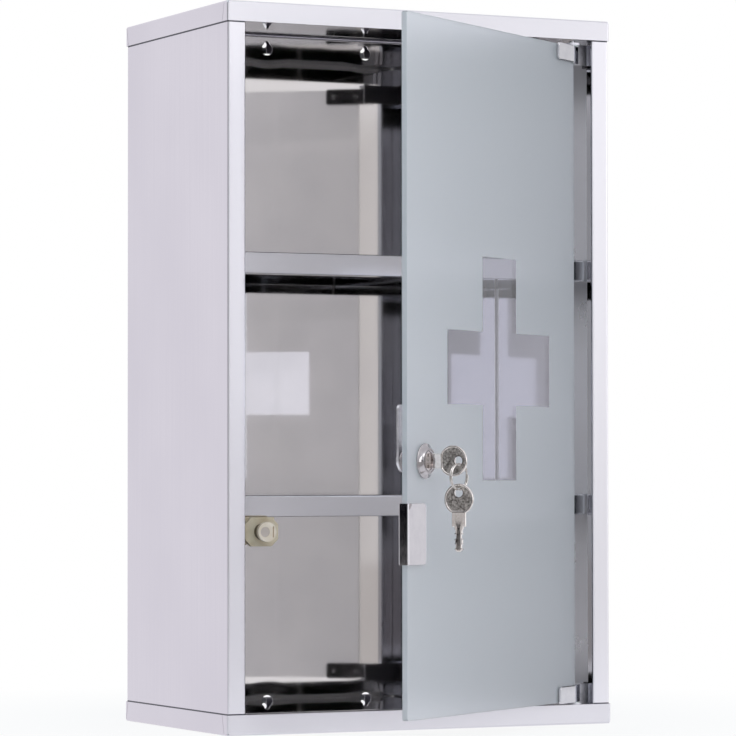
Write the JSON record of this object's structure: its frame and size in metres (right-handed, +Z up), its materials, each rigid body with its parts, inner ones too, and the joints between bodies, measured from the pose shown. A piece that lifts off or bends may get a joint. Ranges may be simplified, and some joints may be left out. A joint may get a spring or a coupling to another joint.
{
  "type": "wall medicine cabinet",
  "caption": "Wall medicine cabinet of folded stainless steel with shelves, a frosted glass door with a clear cross, a cam lock with keys and a touch catch.",
  "frame": {"origin": "middle of the casing's underside", "axes": "+X to the right seen from the front, +Y towards the wall, +Z up"},
  "size_m": [0.298, 0.3385, 0.5],
  "materials": {
    "casing_steel": "satin",
    "bracket_steel": "satin",
    "hinge_metal": "polished",
    "pin_steel": "satin",
    "bush_nylon": "matte",
    "door_glass": "frosted",
    "bright_chrome": "polished",
    "plug_brass": "satin",
    "key_nickel": "satin",
    "ring_steel": "polished",
    "catch_cream": "semi-gloss",
    "magnet_dark": "satin",
    "spring_steel": "satin"
  },
  "bodies": {
    "cabinet": {"top_cap": "casing_steel", "bottom_cap": "casing_steel", "left_side": "casing_steel", "right_side": "casing_steel", "back_panel": "casing_steel", "upper_shelf": "casing_steel", "lower_shelf": "casing_steel", "hinge_bracket_top": "bracket_steel", "hinge_bracket_bottom": "bracket_steel", "pivot_bush_top": "bush_nylon", "pivot_bush_bottom": "bush_nylon", "catch_housing": "catch_cream", "catch_spring": "spring_steel", "catch_screws": "pin_steel"},
    "door": {"door_glass": "door_glass", "hinge_clamp_top": "hinge_metal", "hinge_clamp_bottom": "hinge_metal", "clamp_pads_top": "bush_nylon", "clamp_pads_bottom": "bush_nylon", "clamp_screws_top": "pin_steel", "clamp_screws_bottom": "pin_steel", "pivot_pin_top": "pin_steel", "pivot_pin_bottom": "pin_steel", "strike_clip": "bright_chrome", "strike_liner": "bush_nylon", "lock_housing": "bright_chrome", "lock_gasket": "bush_nylon", "lock_washer": "bush_nylon", "lock_nut": "bright_chrome"},
    "lock_cylinder": {"lock_plug": "plug_brass", "cam_lever": "bright_chrome", "cam_screw": "pin_steel"},
    "key_body": {"key": "key_nickel"},
    "ring_body": {"split_ring": "ring_steel"},
    "spare_key_body": {"spare_key": "key_nickel"},
    "plunger": {"catch_plunger": "catch_cream", "catch_magnet": "magnet_dark"}
  },
  "joints": [
    {"name": "door_hinge", "type": "hinge", "parent": "cabinet", "child": "door", "pos_m": [0.1226, -0.0831, 0.24855], "axis": [0, 0, 1], "range_deg": [-34.9, 80]},
    {"name": "lock_turn", "type": "hinge", "parent": "door", "child": "lock_cylinder", "pos_m": [-0.06379, -0.21861, 0.186], "axis": [0.5721, -0.8202, 0], "range_deg": [0, 90]},
    {"name": "key_slide", "type": "slide", "parent": "lock_cylinder", "child": "key_body", "axis": [0.5721, -0.8202, 0], "range_m": [0, 0.018]},
    {"name": "ring_swing", "type": "hinge", "parent": "key_body", "child": "ring_body", "pos_m": [-0.04926, -0.23944, 0.1841], "axis": [-0.9128, -0.4083, 0], "range_deg": [-8, 45]},
    {"name": "spare_key_swing", "type": "hinge", "parent": "ring_body", "child": "spare_key_body", "pos_m": [-0.04926, -0.23944, 0.1671], "axis": [-0.9128, -0.4083, 0], "range_deg": [-15, 30]},
    {"name": "catch_press", "type": "slide", "parent": "cabinet", "child": "plunger", "axis": [0, 1, 0], "range_m": [0, 0.0035], "stiffness_N_per_m": 1500, "springref_m": -0.0015, "deforming": ["catch_spring"]}
  ]
}
